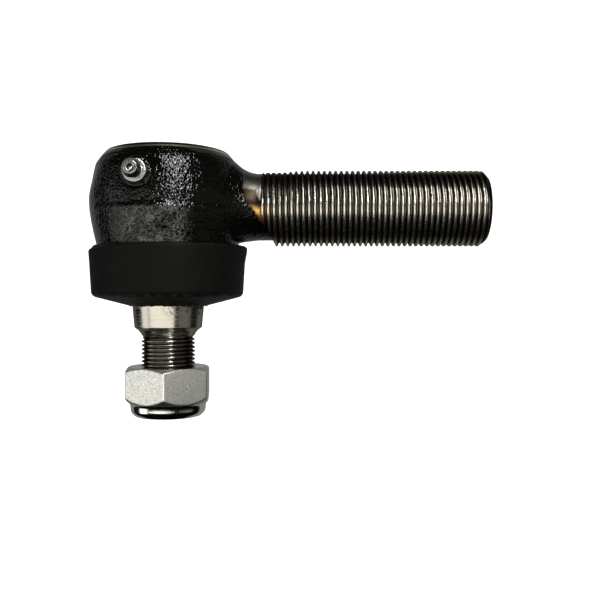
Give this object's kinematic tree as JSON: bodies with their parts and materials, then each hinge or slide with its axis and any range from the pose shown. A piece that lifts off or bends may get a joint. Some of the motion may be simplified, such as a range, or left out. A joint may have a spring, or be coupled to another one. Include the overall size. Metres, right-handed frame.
{
  "type": "tie rod end",
  "caption": "Tie rod end with a forged ball housing, threaded shank, sprung ball seats, tapered ball stud, rubber boot, grease fitting and nylon-insert lock nut.",
  "frame": {"origin": "centre of the stud's ball, on the axis of the threaded shank", "axes": "+X along the threaded shank away from the ball, -Z down the stud to its nut, +Z towards the end cover, -Y towards the grease fitting"},
  "size_m": [0.1493, 0.068, 0.0988],
  "materials": {
    "forging_paint": "glossy black paint over a rough forged skin, bare and turned at the rim",
    "cover_steel": "pressed sheet steel, oiled",
    "seal_rubber": "matte black rubber",
    "bearing_polymer": "natural moulded bearing polymer",
    "spring_steel": "dark oiled spring steel",
    "machined_steel": "bright turned steel with an oiled thread",
    "boot_rubber": "matte black moulded rubber",
    "nut_zinc": "bright zinc plate, frosted on the flats, shiny on the collar",
    "insert_nylon": "natural nylon",
    "fitting_zinc": "zinc plate",
    "valve_steel": "polished bearing steel"
  },
  "bodies": {
    "socket": {"housing": "forging_paint", "end_cover": "cover_steel", "cover_seal_ring": "seal_rubber", "lower_ball_seat": "bearing_polymer", "preload_spring": "spring_steel", "boot_retaining_ring": "spring_steel", "grease_fitting_body": "fitting_zinc", "grease_check_spring": "spring_steel"},
    "pressure_cup": {"upper_ball_seat": "bearing_polymer"},
    "check_valve": {"grease_check_ball": "valve_steel"},
    "boot": {"dust_boot": "boot_rubber"},
    "boot_lip": {"boot_lip_ring": "spring_steel"},
    "stud": {"ball_stud": "machined_steel"},
    "nut_thread": {"nylon_insert": "insert_nylon"},
    "nut": {"lock_nut": "nut_zinc"}
  },
  "joints": [
    {"name": "lean_direction", "type": "hinge", "parent": "socket", "child": "boot", "pos_m": [0, 0, 0], "axis": [0, 0, 1], "continuous": true},
    {"name": "stud_tilt", "type": "hinge", "parent": "boot", "child": "boot_lip", "pos_m": [0, 0, 0], "axis": [0, 1, 0], "range_deg": [-15, 15], "deforming": ["dust_boot"]},
    {"name": "stud_spin", "type": "hinge", "parent": "boot_lip", "child": "stud", "pos_m": [0, 0, 0], "axis": [0, 0, 1], "continuous": true},
    {"name": "nut_travel", "type": "slide", "parent": "stud", "child": "nut_thread", "axis": [0, 0, 1], "range_m": [-0.0105, 0.009]},
    {"name": "nut_spin", "type": "hinge", "parent": "nut_thread", "child": "nut", "pos_m": [0, 0, -0.068], "axis": [0, 0, 1], "range_deg": [-2700, 2340]},
    {"name": "pressure_cup_slide", "type": "slide", "parent": "socket", "child": "pressure_cup", "axis": [0, 0, 1], "range_m": [0, 0.0006], "stiffness_N_per_m": 2000, "springref_m": -0.002, "deforming": ["preload_spring"]},
    {"name": "check_ball_slide", "type": "slide", "parent": "socket", "child": "check_valve", "axis": [0, 1, 0], "range_m": [0, 0.0012], "stiffness_N_per_m": 100, "springref_m": -0.001, "deforming": ["grease_check_spring"]}
  ],
  "couplings": [
    {"joint": "nut_spin", "follows": "nut_travel", "rad_per_m": 4188.8}
  ]
}
